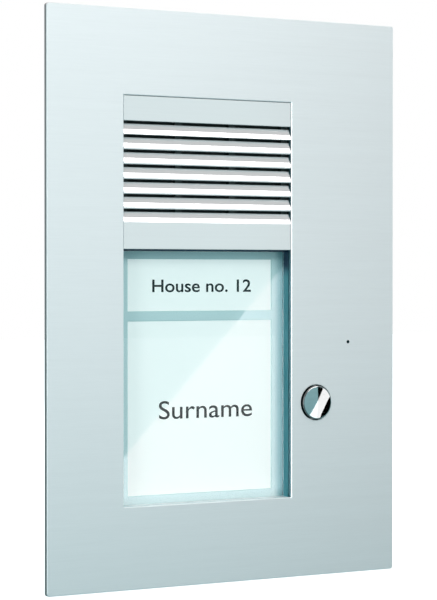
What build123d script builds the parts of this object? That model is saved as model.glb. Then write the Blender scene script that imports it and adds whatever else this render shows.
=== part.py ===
from build123d import *
import os

# Door intercom panel for flush mounting.
# Millimetres. X runs to the right as a visitor sees the panel, Y runs into the wall and Z is up.
# The origin is the middle of the front plate's back face, which is also the middle of its wall studs.

# ---- front plate
PLATE_W = 160.0
PLATE_H = 225.0
PLATE_T = 2.0
PLATE_EDGE = 0.25           # broken outer edge
PLATE_CORNER_R = 1.0
FRONT = -PLATE_T            # the plate's front face

# ---- cut-out for the loudspeaker louvre and the name window
CUT_W = 76.8
CUT_H = 159.3
CUT_FROM_LEFT = 33.1
CUT_FROM_TOP = 33.5
CUT_EDGE = 0.3              # polished chamfer round the cut-out
CUT_X0 = CUT_FROM_LEFT - PLATE_W / 2
CUT_X1 = CUT_X0 + CUT_W
CUT_XM = (CUT_X0 + CUT_X1) / 2
CUT_Z1 = PLATE_H / 2 - CUT_FROM_TOP
CUT_Z0 = CUT_Z1 - CUT_H

# ---- louvre grille: header, six slats and sill
GAP = 0.4                   # joint at the right end of the louvre parts
TOP_GAP = 0.25              # joint above the header
LEFT_GAP = 0.04             # the louvre parts are pushed up to the cut-out's left edge
LOUVRE_BACK = 1.2           # plane behind all louvre parts
HEADER_H = 9.6
SLATS = 6
FIRST_PITCH = 5.35          # header's lower edge to first slat's lower edge
PITCH = 5.74                # one slat's lower edge to the next
SLOT_H = 1.1                # open height of one slot
SLOPE_TOP_D = 1.6           # depth of a slat's top edge behind the plate's front
SLOPE_TOP_R = 0.4
BEND_H = 2.3                # from a slat's top down to the bend in its face
BEND_D = 0.45               # depth of that bend behind the plate's front
FACE_H = 4.0                # from a slat's top down to where its curved face is flush
FACE_BULGE = 0.05
LIP_R = 0.2                 # rounded lower front edge
LOUVRE_X0 = CUT_X0 + LEFT_GAP
LOUVRE_X1 = CUT_X1 - GAP
HEADER_Z1 = CUT_Z1 - TOP_GAP
HEADER_Z0 = HEADER_Z1 - HEADER_H
SLAT_Z0 = [HEADER_Z0 - FIRST_PITCH - PITCH * i for i in range(SLATS)]
SILL_TOP = SLAT_Z0[-1] - SLOT_H
SILL_Z0 = 19.5

# ---- loudspeaker
CARRIER_Z0 = 20.5
CARRIER_Z1 = CUT_Z1 + 2.0
CARRIER_BACK = LOUVRE_BACK + 2.0
CLOTH_T = 0.3
SPEAKER_Z = 49.7
SPEAKER_R = 29.0
SPEAKER_FACE = CARRIER_BACK + CLOTH_T
SPEAKER_RIM = SPEAKER_FACE + 1.0    # behind the loudspeaker's gasket
SPEAKER_SCREW_AT = 23.0     # the four clamp screws sit this far left, right, up and down
SPEAKER_SCREW_R = 1.2
SPEAKER_SCREW_L = 4.0
SPEAKER_HEAD_R = 2.4
SPEAKER_HEAD_H = 1.6
HEAD_EDGE_R = 0.5
SPEAKER_BOSS_R = 2.8
SPEAKER_BOSS_H = 2.0
SPEAKER_BOSS_FLOOR = 0.6
CLAMP_R = 5.0
CLAMP_HOLE_R = 1.6
CLAMP_T = 0.8
UPRIGHT_W = 3.0
BAYS = 3
CARRIER_RIM = 3.0
CLOTH_INSET = 0.5
CLOTH_HOLE_R = 3.0
RIM_IN_R = 25.5             # inner radius of the basket's rim and of its gasket
# outlines as (radius, depth behind the loudspeaker's rim)
BASKET = ((RIM_IN_R, 0), (SPEAKER_R, 0), (SPEAKER_R, 1.0), (26.2, 1.0),
          (17.5, 9.0), (6.0, 9.0), (6.0, 8.2), (16.9, 8.2))
BASKET_WINDOW = (12.0, 4.4, 14.0)
BASKET_WINDOW_AT = (22.0, 4.8)
CONE = ((25.0, 0), (25.0, 0.3), (22.5, 0.7), (7.8, 5.6), (0, 3.9), (0, 3.5), (7.4, 5.1), (22.3, 0.3))
MAGNET = ((0, 9.0), (12.0, 9.0), (12.0, 9.8), (16.0, 9.8), (16.0, 14.6), (14.5, 14.6), (14.5, 15.6), (0, 15.6))

# ---- name window
PANE_FACE = 3.6             # the pane lies this far behind the plate's back face
PANE_T = 1.5
TRAY_WALL = 1.6
TRAY_FACE = 0.5
TRAY_FLOOR = 9.0
TRAY_BACK = 10.5
TRAY_Z1 = 18.9              # inner top of the tray, just below the sill
TRAY_PLAY = 0.2             # play round what lies in the tray
CARD_W = 65.8
UPPER_CARD_Z = (-4.75, 15.65)
LOWER_CARD_Z = (-76.9, -8.7)
CARD_T = 0.3
GUIDE_FACE = PANE_FACE + PANE_T + 0.1
GUIDE_T = 2.5               # light guide round and behind the cards
POCKET = 0.4                # the cards' faces lie this deep in the light guide
POCKET_PLAY = 0.3
CARD_FACE = GUIDE_FACE + POCKET
LEDS = 6
LED_PITCH = 11.0
LED_BOARD_T = 0.4
LED_BOARD_TOP = 4.2         # above the cut-out's lower edge
LED_T = 0.8
LED_HALF = 1.4
LED_Z = (1.8, 3.2)          # above the cut-out's lower edge
PANE_PLAY = 0.1
PANE_EDGE = 0.2
SEAL_INSET = 0.3
TRAY_TOP_PLAY = 0.3         # between the tray's upper end and the carrier
TRAY_STEP = 0.2

# ---- bell push
BELL_X = 41.8
BELL_Z = -42.3
BELL_R = 6.8
BELL_PROUD = 1.5
BELL_RIM = 0.5              # rounded rim of the push
BELL_DOME_R = 82.0          # the face is slightly domed
BELL_HOLE_R = 7.25
BELL_HOLE_EDGE = 0.2
BELL_FLANGE_R = 8.5
BELL_FLANGE = (0.3, 1.8)    # front and back of the cap's retaining flange
BELL_STEM_R = 2.5
BELL_STEM_END = 7.35
CUP_R = 10.0                # guide cup behind the plate
CUP_BORE_R = 8.55
CUP_FACE = 0.5
CUP_FLOOR = (5.2, 6.8)
CUP_EAR_AT = 13.6
CUP_EAR_R = 3.5
STEM_PLAY = 0.08
SEAL_PLAY = 0.05
SPRING_WIRE_R = 0.3
SPRING_COIL_R = 5.5
SPRING_TURNS = 2.5
SPRING_PLAY = 0.05
SWITCH_SIZE = 7.0
SWITCH_FACE = 8.9
SWITCH_EDGE = 0.4
SWITCH_BORE_R = 1.68
SWITCH_FLOOR = 0.4
PLUNGER_R = 1.6
PLUNGER_FACE = BELL_STEM_END + 0.05
PLUNGER_BACK = 10.2

# ---- microphone
MIC_X = 57.5
MIC_Z = -17.9
MIC_HOLE_R = 0.7
MIC_MEMBRANE_R = 4.0
MIC_MEMBRANE_T = 0.25
MIC_BOOT_R = 6.0
MIC_BOOT_END = 6.2
MIC_BOOT_THROAT_R = 1.5
MIC_CAPSULE_R = 4.85
MIC_CAPSULE = (1.5, 6.0)    # front and back of the capsule
MIC_PORT_R = 1.0
MIC_LEAD_R = 0.35
MIC_LEAD_DX = 1.3           # each lead lies this far from the middle

# ---- small clearances
CUTTER = 1.0                # how far a cutting shape reaches past what it cuts
SCREW_PLAY = 0.15           # radial play of a screw or stud in its hole

# ---- printed circuit board
BOARD_FACE = 12.0
BOARD_T = 1.6
BOARD_BACK = BOARD_FACE + BOARD_T
BOARD_X = 62.0              # half width
BOARD_Z = (-74.0, 8.0)
BOARD_POSTS = [(x, z) for x in (-58.5, 58.5) for z in (-60.0, -2.0)]
BOARD_CORNER_R = 2.0
POST_ACROSS = 5.0
POST_THREAD_FROM = 5.0      # the posts' threads start this far behind the plate
POST_SCREW_R = 1.25
POST_SCREW_FROM = 6.0
POST_HEAD_R = 2.3
POST_HEAD_H = 1.7
POST_SLOT = (0.6, 0.7)      # width and depth of the screwdriver slot
TRIMMERS = {"volume": 12.0, "microphone": 24.0}
TRIMMER_Z = -66.0
TRIMMER_SIZE = 7.0
TRIMMER_H = 3.6
TRIMMER_WELL_R = 2.35
TRIMMER_WELL_FLOOR = 1.6
ROTOR_PLAY = 0.1            # above the well's floor
ROTOR_R = 2.28
ROTOR_H = 2.3
ROTOR_SLOT = (0.6, 0.8)
POLES = 4
POLE_PITCH = 5.0
TERMINALS_X = -40.0         # left end of the terminal block
TERMINALS_Z = -68.0         # its lower side
TERMINALS_H = 8.0
POLE_SCREW_Z = TERMINALS_Z + 4.6
POLE_SCREW_R = 1.7
POLE_SCREW_H = 2.6
POLE_WELL_R = 1.8
POLE_WELL_FLOOR = 4.0
POLE_INLET = (3.2, 0.8, 3.6, 2.5)   # width, near and far side from the board, depth
CAPACITOR_X = (-10.0, 2.0)
CAPACITOR_Z = -48.0
CAPACITOR_R = 4.0
CAPACITOR_H = 8.0
CHIPS = ((-30.0, -35.0, 10.0), (10.0, -30.0, 8.0))      # x, z and side length
CHIP_BODY = (0.1, 1.5)
CHIP_LEG_PITCH = 1.27
CHIP_LEG = (0.4, 0.6, 0.9)  # width, height and reach beyond the body
CHIP_DOT = (0.5, 1.4, 0.3)  # radius, distance from two sides, depth

# ---- rear housing
HOUSING_X = 66.0            # half width and half height outside
HOUSING_Z = 98.0
HOUSING_BACK = 24.0
WALL = 2.0
GASKET_T = 1.2
PILLARS = [(x, z) for x in (-59.0, 59.0) for z in (-91.0, 91.0)]
PILLAR_R = 4.0
HOUSING_CORNER_R = 5.0
CAVITY_CORNER_R = 3.0
HOUSING_BACK_EDGE = 1.2
HOUSING_SCREW_R = 1.5
HOUSING_SCREW_HOLE_R = 1.7
HOUSING_SCREW_FROM = 1.0
HOUSING_HEAD_R = 2.75
HOUSING_HEAD_H = 2.4
CROSS_SLOT = (3.0, 0.6)     # length and width
SCREW_WELL_R = 3.1
BUSH_R = 3.0
BUSH_END = 6.0
SCREW_SEAT = 12.0
RIB_Z = (-60.0, -30.0, 0.0)
RIB_HALF = 50.0
RIB_W = 1.2
RIB_H = 0.8
INLET_X = 44.0
INLET_Z = 45.0
INLET_R = 8.0
CABLE_R = 3.5
GROMMET_LIP = 2.0           # the grommet's flanges reach this far past the hole
GROMMET_FLANGE_T = 1.5
COLLAR_END = 4.5
COLLAR_WALL = (2.5, 1.5)    # at its foot and at its tip

# ---- internal leads
LEAD_R = 0.5
LEAD_DX = 1.2               # each lead of a pair lies this far from the pair's middle
LIGHT_LEAD_X = 18.0
LIGHT_LEAD_Z = CUT_Z0 + 0.65
LIGHT_LEAD_SLOT = (5.0, 0.05, 1.3)      # width, lower and upper side above the cut-out's edge
LIGHT_LEAD_END = 4.0        # above the board's lower edge
LIGHT_LEAD_BEND = 3.0
SPEAKER_BACK = SPEAKER_FACE + 10.0
TERMINAL_BOARD_X = 4.0      # half width
TERMINAL_BOARD_T = 1.2
TERMINAL_BOARD_Z = (SPEAKER_Z - 24.0, SPEAKER_Z - 16.6)
SPEAKER_LEAD_Z = (SPEAKER_Z - 18.0, 15.0, 6.0, 1.0)     # start, two bends, end
SPEAKER_LEAD_BEND = 6.0

# ---- fixing to the wall frame
STUD_X = 70.0
STUD_Z = 100.0
STUD_R = 2.0
STUD_END = 14.0
STUD_TIP = 0.4

# ---- M2.5 studs that hold the modules and the bell guide to the plate
EAR_X = (CUT_X0 - TRAY_WALL - 4.0, CUT_X1 + TRAY_WALL + 4.0)
CARRIER_EAR_Z = (27.0, 74.0)
TRAY_EAR_Z = (-72.0, 12.0)
EAR_R = 4.0
EAR_BACK = 2.5
EAR_REACH = 4.2             # from an ear's hole to the module's wall
SMALL_STUD_R = 1.25
SMALL_STUD_END = 6.0
SMALL_STUD_TIP = 0.25
NUT_ACROSS = 5.0
NUT_H = 2.0
BELL_STUDS = [(BELL_X, BELL_Z - CUP_EAR_AT), (BELL_X, BELL_Z + CUP_EAR_AT)]
MODULE_STUDS = [(x, z) for x in EAR_X for z in CARRIER_EAR_Z + TRAY_EAR_Z] + BELL_STUDS


def block(x0, x1, y0, y1, z0, z1):
    """A box between two corners."""
    return Pos((x0 + x1) / 2, (y0 + y1) / 2, (z0 + z1) / 2) * Box(x1 - x0, y1 - y0, z1 - z0)


def rod(x, z, r, y0, y1):
    """A round bar along Y."""
    return Pos(x, (y0 + y1) / 2, z) * Rot(90, 0, 0) * Cylinder(r, y1 - y0)


def ring(x, z, r_out, r_in, y0, y1):
    return rod(x, z, r_out, y0, y1) - rod(x, z, r_in, y0, y1)


def frame(x0, x1, z0, z1, wall, y0, y1):
    """A rectangular wall that stands outside the given opening."""
    outer = block(x0 - wall, x1 + wall, y0, y1, z0 - wall, z1 + wall)
    return outer - block(x0, x1, y0, y1, z0, z1)


def turned(x, z, points):
    """A solid of revolution about a Y axis, from (radius, y) points."""
    face = make_face(Polyline(*[(r, y) for r, y in points], close=True))
    return Pos(x, 0, z) * revolve(face, Axis.Y)


def hexagon(x, z, across, y0, y1):
    flat = RegularPolygon(across / 2, 6, major_radius=False)
    return Pos(x, y1, z) * Rot(90, 0, 0) * extrude(flat, y1 - y0)


def rail(outline):
    """Extrudes a (y, z) outline along the louvre's width."""
    face = Plane.YZ.offset(LOUVRE_X0) * make_face(outline)
    return extrude(face, LOUVRE_X1 - LOUVRE_X0)


def group(solids):
    return Compound(children=list(solids))


def save(name, shape):
    shape.label = name
    export_step(shape, f"parts/{name}.step")


# ---------------------------------------------------------------- front plate and what is welded to it

def front_plate():
    plate = block(-PLATE_W / 2, PLATE_W / 2, FRONT, 0, -PLATE_H / 2, PLATE_H / 2)
    plate = fillet(plate.edges().filter_by(Axis.Y), PLATE_CORNER_R)
    plate = chamfer(plate.faces().sort_by(Axis.Y)[0].edges(), PLATE_EDGE)
    plate -= block(CUT_X0, CUT_X1, FRONT - 1, 1, CUT_Z0, CUT_Z1)
    plate -= rod(BELL_X, BELL_Z, BELL_HOLE_R, FRONT - 1, 1)
    window = plate.faces().sort_by(Axis.Y)[0].inner_wires().sort_by(SortBy.LENGTH)
    plate = chamfer(window[-1].edges(), CUT_EDGE)
    rims = plate.edges().filter_by(GeomType.CIRCLE).group_by(Axis.Y)[0]
    bell_rim = rims.group_by(SortBy.RADIUS)[-1]
    plate = chamfer(bell_rim, BELL_HOLE_EDGE)
    return plate - rod(MIC_X, MIC_Z, MIC_HOLE_R, FRONT - 1, 1)


def wall_stud(x, z):
    """M4 weld stud."""
    return chamfer(rod(x, z, STUD_R, 0, STUD_END).edges().sort_by(Axis.Y)[-1], STUD_TIP)


def bush(x, z):
    """Press-in bush with an M3 thread, for a housing screw."""
    return ring(x, z, BUSH_R, HOUSING_SCREW_R, 0, BUSH_END)


def module_stud(x, z):
    return chamfer(rod(x, z, SMALL_STUD_R, 0, SMALL_STUD_END).edges().sort_by(Axis.Y)[-1], SMALL_STUD_TIP)


def module_nut(x, z):
    back = EAR_BACK + NUT_H
    return hexagon(x, z, NUT_ACROSS, EAR_BACK, back) - rod(x, z, SMALL_STUD_R, EAR_BACK, back)


def ears(solid, places):
    """Adds a lug with an M2.5 clearance hole at each place, reaching to the module's wall."""
    for x, z in places:
        lug = rod(x, z, EAR_R, TRAY_FACE, EAR_BACK)
        x0, x1 = (x, x + EAR_REACH) if x < CUT_XM else (x - EAR_REACH, x)
        lug += block(x0, x1, TRAY_FACE, EAR_BACK, z - EAR_R, z + EAR_R)
        solid += lug
    for x, z in places:
        solid -= rod(x, z, SMALL_STUD_R + SCREW_PLAY, TRAY_FACE - CUTTER, EAR_BACK + CUTTER)
    return solid


# ---------------------------------------------------------------- louvre and loudspeaker

def header():
    bar = block(LOUVRE_X0, LOUVRE_X1, FRONT, LOUVRE_BACK, HEADER_Z0, HEADER_Z1)
    return fillet(bar.edges().filter_by(Axis.X).group_by(Axis.Y)[0].sort_by(Axis.Z)[0], LIP_R)


def nosed_rail(z0, z1):
    """A bar whose upper front slopes back above a bend, so that water runs out."""
    bend = (FRONT + BEND_D, z1 - BEND_H)
    flush = (FRONT, z1 - FACE_H)
    middle = ((bend[0] + flush[0]) / 2 - FACE_BULGE, (bend[1] + flush[1]) / 2)
    top = (FRONT + SLOPE_TOP_D, z1)
    back = Polyline(flush, (FRONT, z0), (LOUVRE_BACK, z0), (LOUVRE_BACK, z1), top, bend)
    bar = rail([back, ThreePointArc(bend, middle, flush)])
    edges = bar.edges().filter_by(Axis.X)
    bar = fillet(edges.group_by(Axis.Z)[-1].sort_by(Axis.Y)[0], SLOPE_TOP_R)
    return fillet(bar.edges().filter_by(Axis.X).group_by(Axis.Z)[0].sort_by(Axis.Y)[0], LIP_R)


def slat(i):
    upper = HEADER_Z0 if i == 0 else SLAT_Z0[i - 1]
    return nosed_rail(SLAT_Z0[i], upper - SLOT_H)


def louvre_carrier():
    """Moulded frame behind the plate with four uprights that hold the slats."""
    x0, x1 = CUT_X0 - TRAY_WALL, CUT_X1 + TRAY_WALL
    body = block(x0, x1, TRAY_FACE, CARRIER_BACK, CARRIER_Z0, CARRIER_Z1)
    body -= block(CUT_X0, CUT_X1, 0, LOUVRE_BACK, CARRIER_Z0 - CUTTER, CUT_Z1)
    bay = (CUT_W - (BAYS + 1) * UPRIGHT_W) / BAYS
    for i in range(BAYS):
        left = CUT_X0 + UPRIGHT_W + i * (bay + UPRIGHT_W)
        body -= block(left, left + bay, 0, CARRIER_BACK + CUTTER,
                      CARRIER_Z0 + CARRIER_RIM, CUT_Z1 - CARRIER_RIM)
    for z in (SPEAKER_Z - SPEAKER_SCREW_AT, SPEAKER_Z + SPEAKER_SCREW_AT):
        body += block(CUT_X0, CUT_X1, LOUVRE_BACK, CARRIER_BACK, z - UPRIGHT_W / 2, z + UPRIGHT_W / 2)
    boss_end = SPEAKER_FACE + SPEAKER_BOSS_H
    for x, z in speaker_screw_places():
        body += rod(x, z, SPEAKER_BOSS_R, LOUVRE_BACK, boss_end)
        body -= rod(x, z, SPEAKER_SCREW_R, LOUVRE_BACK + SPEAKER_BOSS_FLOOR, boss_end + CUTTER)
    return ears(body, [(x, z) for x in EAR_X for z in CARRIER_EAR_Z])


def speaker_screw_places():
    return [(CUT_XM + sx * SPEAKER_SCREW_AT, SPEAKER_Z + sz * SPEAKER_SCREW_AT)
            for sx in (-1, 1) for sz in (-1, 1)]


def speaker_cloth():
    cloth = block(CUT_X0 + CLOTH_INSET, CUT_X1 - CLOTH_INSET, CARRIER_BACK, SPEAKER_FACE,
                  CARRIER_Z0 + CLOTH_INSET, CUT_Z1 - CLOTH_INSET)
    for x, z in speaker_screw_places():
        cloth -= rod(x, z, CLOTH_HOLE_R, 0, SPEAKER_FACE + CUTTER)
    return cloth


def speaker_gasket():
    return ring(CUT_XM, SPEAKER_Z, SPEAKER_R, RIM_IN_R, SPEAKER_FACE, SPEAKER_RIM)


def speaker_outline(points):
    """Turns a (radius, depth) outline about the loudspeaker's axis."""
    return turned(CUT_XM, SPEAKER_Z, [(r, SPEAKER_RIM + depth) for r, depth in points])


def speaker_basket():
    """Pressed steel basket with four windows between its arms."""
    basket = speaker_outline(BASKET)
    out, depth = BASKET_WINDOW_AT
    for angle in (0, 90, 180, 270):
        turn = Pos(CUT_XM, SPEAKER_RIM + depth, SPEAKER_Z) * Rot(0, angle, 0)
        basket -= turn * Pos(out, 0, 0) * Box(*BASKET_WINDOW)
    return basket


def speaker_cone():
    """Paper cone with its rolled surround and dust dome."""
    return speaker_outline(CONE)


def speaker_magnet():
    return speaker_outline(MAGNET)


def speaker_clamp(x, z):
    """Wide washer that grips the rim of the basket."""
    y = SPEAKER_FACE + SPEAKER_BOSS_H
    return ring(x, z, CLAMP_R, CLAMP_HOLE_R, y, y + CLAMP_T)


def speaker_screw(x, z):
    y = SPEAKER_FACE + SPEAKER_BOSS_H + CLAMP_T
    head = rod(x, z, SPEAKER_HEAD_R, y, y + SPEAKER_HEAD_H)
    head = fillet(head.edges().sort_by(Axis.Y)[-1], HEAD_EDGE_R)
    return rod(x, z, SPEAKER_SCREW_R, y - SPEAKER_SCREW_L, y) + head


# ---------------------------------------------------------------- name window

def label_tray():
    """Moulded tray that carries pane, cards and light guide behind the cut-out."""
    tray = frame(CUT_X0, CUT_X1, CUT_Z0, TRAY_Z1, TRAY_WALL, TRAY_FACE, TRAY_BACK)
    x0, x1, top = CUT_X0 - TRAY_WALL, CUT_X1 + TRAY_WALL, CARRIER_Z0 - TRAY_TOP_PLAY
    above = TRAY_Z1 + TRAY_WALL + CUTTER
    tray -= block(x0, x1, 0, LOUVRE_BACK + TRAY_STEP, TRAY_Z1, above)
    tray -= block(x0, x1, 0, TRAY_BACK + CUTTER, top, above)
    tray += block(x0, x1, TRAY_FLOOR, TRAY_BACK, CUT_Z0 - TRAY_WALL, top)
    slot_w, slot_z0, slot_z1 = LIGHT_LEAD_SLOT
    tray -= block(LIGHT_LEAD_X - slot_w / 2, LIGHT_LEAD_X + slot_w / 2, TRAY_FLOOR - CUTTER, TRAY_BACK + CUTTER,
                  CUT_Z0 + slot_z0, CUT_Z0 + slot_z1)
    return ears(tray, [(x, z) for x in EAR_X for z in TRAY_EAR_Z])


def cutout_seal():
    """Flat rubber frame that seals the louvre carrier and the label tray to the plate."""
    return frame(CUT_X0 - SEAL_INSET, CUT_X1 + SEAL_INSET, CUT_Z0 - SEAL_INSET, CUT_Z1 + SEAL_INSET,
                 TRAY_WALL - SEAL_INSET, 0, TRAY_FACE)


def window_pane():
    pane = block(CUT_X0 + PANE_PLAY, CUT_X1 - PANE_PLAY, PANE_FACE, PANE_FACE + PANE_T,
                 CUT_Z0 + PANE_PLAY, TRAY_Z1 - PANE_PLAY)
    return chamfer(pane.faces().sort_by(Axis.Y)[0].edges(), PANE_EDGE)


def card(z_range):
    return block(CUT_XM - CARD_W / 2, CUT_XM + CARD_W / 2, CARD_FACE, CARD_FACE + CARD_T, *z_range)


def light_guide():
    """Frosted plate with a shallow pocket for each card."""
    z0, z1 = CUT_Z0 + TRAY_PLAY, TRAY_Z1 - TRAY_PLAY
    guide = block(CUT_X0 + TRAY_PLAY, CUT_X1 - TRAY_PLAY, GUIDE_FACE, GUIDE_FACE + GUIDE_T, z0, z1)
    half = CARD_W / 2 + POCKET_PLAY
    for card_z0, card_z1 in (UPPER_CARD_Z, LOWER_CARD_Z):
        guide -= block(CUT_XM - half, CUT_XM + half, GUIDE_FACE - CUTTER, CARD_FACE + CARD_T,
                       card_z0 - POCKET_PLAY, card_z1 + POCKET_PLAY)
    return guide


def led_strip():
    """Thin board on the tray's floor, behind the light guide's lower edge."""
    half = CARD_W / 2
    return block(CUT_XM - half, CUT_XM + half, TRAY_FLOOR - LED_BOARD_T, TRAY_FLOOR,
                 CUT_Z0 + TRAY_PLAY, CUT_Z0 + LED_BOARD_TOP)


def led(i):
    x = CUT_XM + (i - (LEDS - 1) / 2) * LED_PITCH
    y = TRAY_FLOOR - LED_BOARD_T
    return block(x - LED_HALF, x + LED_HALF, y - LED_T, y, CUT_Z0 + LED_Z[0], CUT_Z0 + LED_Z[1])


# ---------------------------------------------------------------- bell push

def bell_cap():
    """Polished steel cap with a retaining flange and the stem that works the switch."""
    face = FRONT - BELL_PROUD
    cap = rod(BELL_X, BELL_Z, BELL_R, face, BELL_FLANGE[1])
    cap &= Pos(BELL_X, face + BELL_DOME_R, BELL_Z) * Sphere(BELL_DOME_R)
    cap = fillet(cap.edges().sort_by(Axis.Y)[0], BELL_RIM)
    cap += rod(BELL_X, BELL_Z, BELL_FLANGE_R, *BELL_FLANGE)
    return cap + rod(BELL_X, BELL_Z, BELL_STEM_R, BELL_FLANGE[1], BELL_STEM_END)


def bell_guide():
    """Cup in which the cap's flange slides, with two ears on the plate's studs."""
    cup = rod(BELL_X, BELL_Z, CUP_R, CUP_FACE, CUP_FLOOR[1])
    cup += block(BELL_X - CUP_EAR_R, BELL_X + CUP_EAR_R, CUP_FACE, EAR_BACK,
                 BELL_Z - CUP_EAR_AT, BELL_Z + CUP_EAR_AT)
    for x, z in BELL_STUDS:
        cup += rod(x, z, CUP_EAR_R, CUP_FACE, EAR_BACK)
        cup -= rod(x, z, SMALL_STUD_R + SCREW_PLAY, 0, EAR_BACK + CUTTER)
    cup -= rod(BELL_X, BELL_Z, CUP_BORE_R, 0, CUP_FLOOR[0])
    return cup - rod(BELL_X, BELL_Z, BELL_STEM_R + STEM_PLAY, 0, CUP_FLOOR[1] + CUTTER)


def bell_seal():
    return ring(BELL_X, BELL_Z, CUP_R, CUP_BORE_R + SEAL_PLAY, 0, CUP_FACE)


def bell_spring():
    """Coil spring between the cap's flange and the floor of the guide."""
    length = CUP_FLOOR[0] - BELL_FLANGE[1] - 2 * SPRING_WIRE_R - 2 * SPRING_PLAY
    path = Helix(pitch=length / SPRING_TURNS, height=length, radius=SPRING_COIL_R)
    start = Plane(path @ 0, z_dir=path % 0)
    coil = sweep(start * Circle(SPRING_WIRE_R), path=path)
    return Pos(BELL_X, BELL_FLANGE[1] + SPRING_WIRE_R + SPRING_PLAY, BELL_Z) * Rot(-90, 0, 0) * coil


def switch_body():
    half = SWITCH_SIZE / 2
    body = block(BELL_X - half, BELL_X + half, SWITCH_FACE, BOARD_FACE, BELL_Z - half, BELL_Z + half)
    body = chamfer(body.edges().filter_by(Axis.Y), SWITCH_EDGE)
    return body - rod(BELL_X, BELL_Z, SWITCH_BORE_R, SWITCH_FACE - CUTTER, BOARD_FACE - SWITCH_FLOOR)


def switch_plunger():
    return rod(BELL_X, BELL_Z, PLUNGER_R, PLUNGER_FACE, PLUNGER_BACK)


# ---------------------------------------------------------------- microphone

def mic_membrane():
    return rod(MIC_X, MIC_Z, MIC_MEMBRANE_R, 0, MIC_MEMBRANE_T)


def mic_boot():
    """Rubber cup that seals the capsule to the plate."""
    boot = rod(MIC_X, MIC_Z, MIC_BOOT_R, 0, MIC_BOOT_END)
    boot -= rod(MIC_X, MIC_Z, MIC_MEMBRANE_R, -CUTTER, MIC_MEMBRANE_T)
    boot -= rod(MIC_X, MIC_Z, MIC_BOOT_THROAT_R, 0, MIC_CAPSULE[0])
    return boot - rod(MIC_X, MIC_Z, MIC_CAPSULE_R, MIC_CAPSULE[0], MIC_BOOT_END + CUTTER)


def mic_capsule():
    capsule = rod(MIC_X, MIC_Z, MIC_CAPSULE_R, *MIC_CAPSULE)
    return capsule - rod(MIC_X, MIC_Z, MIC_PORT_R, 0, MIC_CAPSULE[0] + MIC_PORT_R / 2)


# ---------------------------------------------------------------- circuit board

def main_board():
    board = block(-BOARD_X, BOARD_X, BOARD_FACE, BOARD_BACK, *BOARD_Z)
    board = fillet(board.edges().filter_by(Axis.Y), BOARD_CORNER_R)
    for x, z in BOARD_POSTS:
        board -= rod(x, z, POST_SCREW_R + SCREW_PLAY, BOARD_FACE - CUTTER, BOARD_BACK + CUTTER)
    return board


def board_post(x, z):
    """Brass hexagon pillar on the plate's back."""
    thread = rod(x, z, POST_SCREW_R, POST_THREAD_FROM, BOARD_FACE + CUTTER)
    return hexagon(x, z, POST_ACROSS, 0, BOARD_FACE) - thread


def board_screw(x, z):
    top = BOARD_BACK + POST_HEAD_H
    slot_w, slot_depth = POST_SLOT
    head = fillet(rod(x, z, POST_HEAD_R, BOARD_BACK, top).edges().sort_by(Axis.Y)[-1], HEAD_EDGE_R)
    head -= block(x - POST_HEAD_R, x + POST_HEAD_R, top - slot_depth, top + CUTTER,
                  z - slot_w / 2, z + slot_w / 2)
    return head + rod(x, z, POST_SCREW_R, POST_SCREW_FROM, BOARD_BACK)


def terminal_block():
    """Four-pole screw terminal for the bus wires."""
    back = BOARD_BACK + TERMINALS_H
    body = block(TERMINALS_X, TERMINALS_X + POLES * POLE_PITCH, BOARD_BACK, back,
                 TERMINALS_Z, TERMINALS_Z + TERMINALS_H)
    inlet_w, inlet_y0, inlet_y1, inlet_depth = POLE_INLET
    for i in range(POLES):
        x = pole_x(i)
        body -= rod(x, POLE_SCREW_Z, POLE_WELL_R, BOARD_BACK + POLE_WELL_FLOOR, back + CUTTER)
        body -= block(x - inlet_w / 2, x + inlet_w / 2, BOARD_BACK + inlet_y0, BOARD_BACK + inlet_y1,
                      TERMINALS_Z - CUTTER, TERMINALS_Z + inlet_depth)
    return body


def pole_x(i):
    return TERMINALS_X + (i + 0.5) * POLE_PITCH


def terminal_screw(i):
    x, z, y = pole_x(i), POLE_SCREW_Z, BOARD_BACK + POLE_WELL_FLOOR
    top = y + POLE_SCREW_H
    slot_w, slot_depth = ROTOR_SLOT
    screw = rod(x, z, POLE_SCREW_R, y, top)
    return screw - block(x - POLE_WELL_R, x + POLE_WELL_R, top - slot_depth, top + CUTTER,
                         z - slot_w / 2, z + slot_w / 2)


def trimmer_body(x):
    half, back = TRIMMER_SIZE / 2, BOARD_BACK + TRIMMER_H
    body = block(x - half, x + half, BOARD_BACK, back, TRIMMER_Z - half, TRIMMER_Z + half)
    return body - rod(x, TRIMMER_Z, TRIMMER_WELL_R, BOARD_BACK + TRIMMER_WELL_FLOOR, back + CUTTER)


def trimmer_rotor(x):
    y = BOARD_BACK + TRIMMER_WELL_FLOOR + ROTOR_PLAY
    top = y + ROTOR_H
    slot_w, slot_depth = ROTOR_SLOT
    rotor = rod(x, TRIMMER_Z, ROTOR_R, y, top)
    return rotor - block(x - slot_w / 2, x + slot_w / 2, top - slot_depth, top + CUTTER,
                         TRIMMER_Z - TRIMMER_SIZE / 2, TRIMMER_Z + TRIMMER_SIZE / 2)


def capacitor(x):
    can = rod(x, CAPACITOR_Z, CAPACITOR_R, BOARD_BACK, BOARD_BACK + CAPACITOR_H)
    return fillet(can.edges().sort_by(Axis.Y)[-1], HEAD_EDGE_R)


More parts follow.
